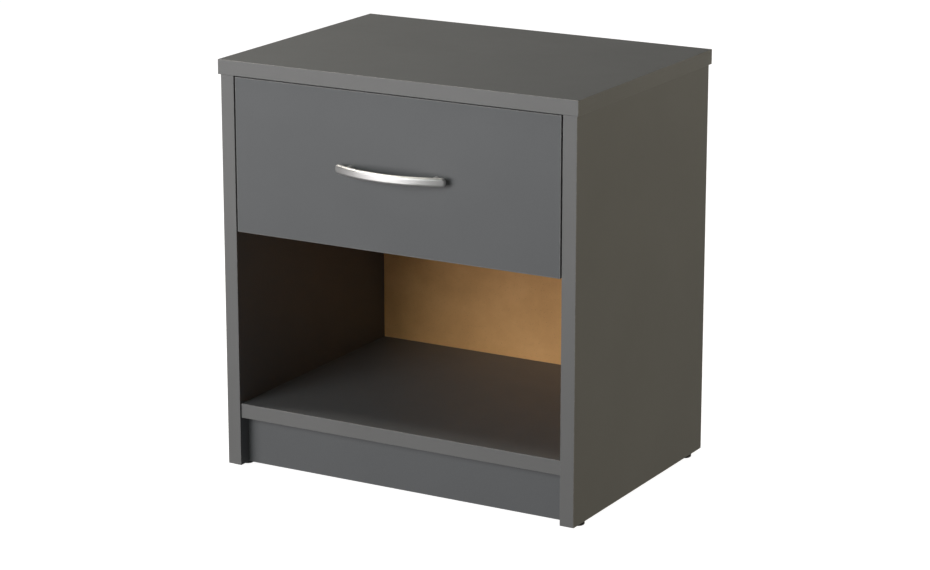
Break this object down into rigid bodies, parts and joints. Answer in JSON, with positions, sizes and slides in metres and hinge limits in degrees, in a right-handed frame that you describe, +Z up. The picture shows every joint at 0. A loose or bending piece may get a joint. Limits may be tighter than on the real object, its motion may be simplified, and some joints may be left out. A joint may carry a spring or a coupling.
{
  "type": "nightstand",
  "caption": "Small grey bedside table with a drawer on roller runners, a bow handle, an open compartment and a set-back plinth.",
  "frame": {"origin": "on the floor, below the middle of the whole outline, handle included", "axes": "+X to the table's right seen from the front, +Y towards the back, +Z up"},
  "size_m": [0.4, 0.3096, 0.422],
  "materials": {
    "grey_board": "anthracite grey melamine facing on chipboard, satin",
    "grey_edging": "anthracite grey edge banding, satin",
    "hardboard": "raw brown hardboard",
    "drawer_foil": "pale grey foil-wrapped chipboard",
    "satin_nickel": "satin nickel plating",
    "zinc_casting": "bright zinc die casting",
    "beech": "fluted beech dowel",
    "black_plastic": "black polyethylene",
    "runner_enamel": "white powder coat",
    "roller_plastic": "white nylon",
    "plated_steel": "bright zinc plating"
  },
  "bodies": {
    "carcass": {"top_panel": "grey_board", "top_band_front": "grey_edging", "top_band_left": "grey_edging", "top_band_right": "grey_edging", "side_panel_left": "grey_board", "side_panel_right": "grey_board", "side_band_left": "grey_edging", "side_band_right": "grey_edging", "bottom_shelf": "grey_board", "shelf_band": "grey_edging", "plinth_board": "grey_board", "back_panel": "hardboard", "back_panel_nails": "plated_steel", "carcass_cam_bolts": "plated_steel", "carcass_cam_locks": "zinc_casting", "carcass_dowels": "beech", "glide_front_left": "black_plastic", "glide_front_right": "black_plastic", "glide_rear_left": "black_plastic", "glide_rear_right": "black_plastic", "glide_nails": "plated_steel", "cabinet_runner_left": "runner_enamel", "cabinet_runner_right": "runner_enamel", "cabinet_runner_rivets": "plated_steel", "cabinet_runner_screws": "plated_steel"},
    "drawer": {"drawer_front": "grey_board", "drawer_band_top": "grey_edging", "drawer_band_bottom": "grey_edging", "drawer_band_left": "grey_edging", "drawer_band_right": "grey_edging", "drawer_side_left": "drawer_foil", "drawer_side_right": "drawer_foil", "drawer_back": "drawer_foil", "drawer_bottom": "hardboard", "drawer_cam_bolts": "plated_steel", "drawer_cam_locks": "zinc_casting", "drawer_dowels": "beech", "drawer_back_screws": "plated_steel", "handle_bar": "satin_nickel", "handle_post_left": "satin_nickel", "handle_post_right": "satin_nickel", "handle_screws": "plated_steel", "drawer_runner_left": "runner_enamel", "drawer_runner_right": "runner_enamel", "drawer_runner_rivets": "plated_steel", "drawer_runner_screws": "plated_steel"},
    "cabinet_roller_left": {"cabinet_roller_left": "roller_plastic"},
    "cabinet_roller_right": {"cabinet_roller_right": "roller_plastic"},
    "drawer_roller_left": {"drawer_roller_left": "roller_plastic"},
    "drawer_roller_right": {"drawer_roller_right": "roller_plastic"}
  },
  "joints": [
    {"name": "drawer_slide", "type": "slide", "parent": "carcass", "child": "drawer", "axis": [0, -1, 0], "range_m": [0, 0.19]},
    {"name": "cabinet_roller_left_spin", "type": "hinge", "parent": "carcass", "child": "cabinet_roller_left", "pos_m": [-0.177, -0.1028, 0.2625], "axis": [1, 0, 0], "range_deg": [0, 1285]},
    {"name": "cabinet_roller_right_spin", "type": "hinge", "parent": "carcass", "child": "cabinet_roller_right", "pos_m": [0.177, -0.1028, 0.2625], "axis": [1, 0, 0], "range_deg": [0, 1285]},
    {"name": "drawer_roller_left_spin", "type": "hinge", "parent": "drawer", "child": "drawer_roller_left", "pos_m": [-0.177, 0.1262, 0.2595], "axis": [1, 0, 0], "range_deg": [0, 1285]},
    {"name": "drawer_roller_right_spin", "type": "hinge", "parent": "drawer", "child": "drawer_roller_right", "pos_m": [0.177, 0.1262, 0.2595], "axis": [1, 0, 0], "range_deg": [0, 1285]}
  ],
  "couplings": [
    {"joint": "cabinet_roller_left_spin", "follows": "drawer_slide", "rad_per_m": 117.65},
    {"joint": "cabinet_roller_right_spin", "follows": "drawer_slide", "rad_per_m": 117.65},
    {"joint": "drawer_roller_left_spin", "follows": "drawer_slide", "rad_per_m": 117.65},
    {"joint": "drawer_roller_right_spin", "follows": "drawer_slide", "rad_per_m": 117.65}
  ]
}
